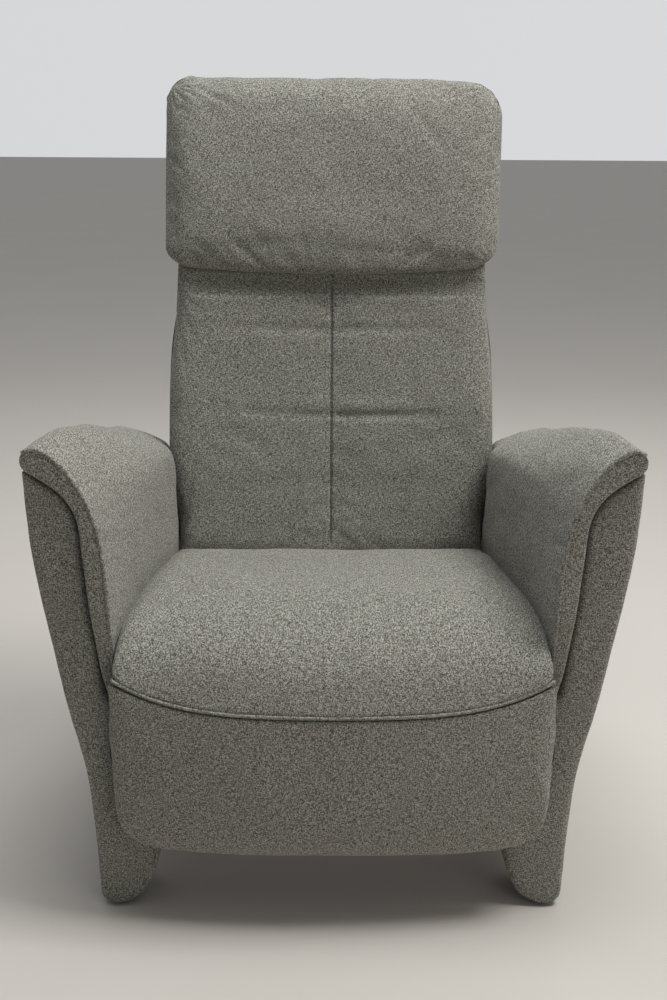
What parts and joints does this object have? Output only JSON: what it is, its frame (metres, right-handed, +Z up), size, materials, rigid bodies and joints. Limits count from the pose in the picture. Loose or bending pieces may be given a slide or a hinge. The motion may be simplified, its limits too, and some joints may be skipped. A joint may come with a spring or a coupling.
{
  "type": "recliner armchair",
  "caption": "Upholstered recliner armchair with flared side panels on feet, padded arms, swing-up leg rest, reclining back and a tilting headrest.",
  "frame": {"origin": "centre of the bounding box's bottom face, on the floor", "axes": "+Z up; the sitter faces -Y; +X is the sitter's left, so nodes named left are at +X"},
  "size_m": [0.8124, 0.7992, 1.1238],
  "materials": {
    "upholstery": "fine grey melange weave",
    "plywood": "raw birch plywood",
    "beech": "planed beech",
    "black_steel": "black powder coat",
    "zinc_steel": "zinc plated",
    "black_plastic": "fine texture",
    "felt": "needled felt",
    "webbing": "woven elastic"
  },
  "bodies": {
    "base": {"left_side_panel": "upholstery", "right_side_panel": "upholstery", "left_side_board": "plywood", "right_side_board": "plywood", "left_arm_pad": "upholstery", "right_arm_pad": "upholstery", "floor_glides": "black_plastic", "front_cross_rail": "beech", "rear_cross_rail": "beech", "cross_rail_bolts": "zinc_steel", "left_seat_rail": "beech", "right_seat_rail": "beech", "front_seat_rail": "beech", "rear_seat_rail": "beech", "seat_springs": "zinc_steel", "spring_clips": "black_steel", "spring_felt": "felt", "seat_cushion": "upholstery", "seat_front_roll": "upholstery", "leg_rest_hinge_brackets": "black_steel", "leg_rest_hinge_pins": "zinc_steel", "shaft_bushes": "black_plastic", "handle_escutcheon": "black_plastic", "recline_brackets": "black_steel", "recline_pins": "zinc_steel", "gas_spring_anchor_tube": "black_steel", "gas_spring_release_head": "black_plastic", "gas_spring_rod": "zinc_steel", "release_escutcheon": "black_plastic", "release_cable": "black_plastic"},
    "leg_rest": {"leg_rest_board": "plywood", "leg_rest_pad": "upholstery", "leg_rest_brackets": "black_steel", "leg_rest_link_pins": "zinc_steel"},
    "drive_shaft": {"drive_shaft": "zinc_steel", "drive_cranks": "black_steel", "crank_pins": "zinc_steel", "side_handle": "black_steel", "handle_grip": "black_plastic"},
    "drive_links": {"drive_links": "black_steel"},
    "backrest": {"back_uprights": "black_steel", "back_cross_rails": "black_steel", "back_pivot_tube": "black_steel", "gas_lever_plates": "black_steel", "gas_lever_pin": "zinc_steel", "back_webbing": "webbing", "back_cushion": "upholstery", "back_rear_cover": "upholstery", "headrest_hinge_brackets": "black_steel", "headrest_hinge_rod": "zinc_steel"},
    "headrest": {"headrest_arms": "black_steel", "headrest_plate": "black_steel", "headrest_pad": "upholstery"},
    "gas_cylinder": {"gas_spring_cylinder": "black_steel"},
    "release_lever": {"release_spindle": "zinc_steel", "release_lever": "black_plastic"}
  },
  "joints": [
    {"name": "leg_rest_swing", "type": "hinge", "parent": "base", "child": "leg_rest", "pos_m": [0, -0.3416, 0.335], "axis": [-1, 0, 0], "range_deg": [0, 85], "deforming": ["seat_front_roll"]},
    {"name": "drive_shaft_turn", "type": "hinge", "parent": "base", "child": "drive_shaft", "pos_m": [0, -0.1016, 0.292], "axis": [-1, 0, 0], "range_deg": [0, 85]},
    {"name": "drive_link_turn", "type": "hinge", "parent": "drive_shaft", "child": "drive_links", "pos_m": [0, -0.0666, 0.217], "axis": [-1, 0, 0], "range_deg": [-85, 0]},
    {"name": "backrest_recline", "type": "hinge", "parent": "base", "child": "backrest", "pos_m": [0, 0.2084, 0.365], "axis": [-1, 0, 0], "range_deg": [0, 40]},
    {"name": "gas_cylinder_slide", "type": "slide", "parent": "base", "child": "gas_cylinder", "axis": [0, -1, 0], "range_m": [0, 0.06499]},
    {"name": "headrest_tilt", "type": "hinge", "parent": "backrest", "child": "headrest", "pos_m": [0, 0.2864, 0.808], "axis": [1, 0, 0], "range_deg": [0, 35]},
    {"name": "release_lever_pull", "type": "hinge", "parent": "base", "child": "release_lever", "pos_m": [0, 0.0434, 0.27], "axis": [-1, 0, 0], "range_deg": [0, 20], "stiffness_Nm_per_rad": 0.9, "springref_deg": -8.59}
  ],
  "couplings": [
    {"joint": "drive_shaft_turn", "follows": "leg_rest_swing", "ratio": 1},
    {"joint": "drive_link_turn", "follows": "leg_rest_swing", "ratio": -1},
    {"joint": "gas_cylinder_slide", "follows": "backrest_recline", "m_per_rad": 0.09308}
  ]
}
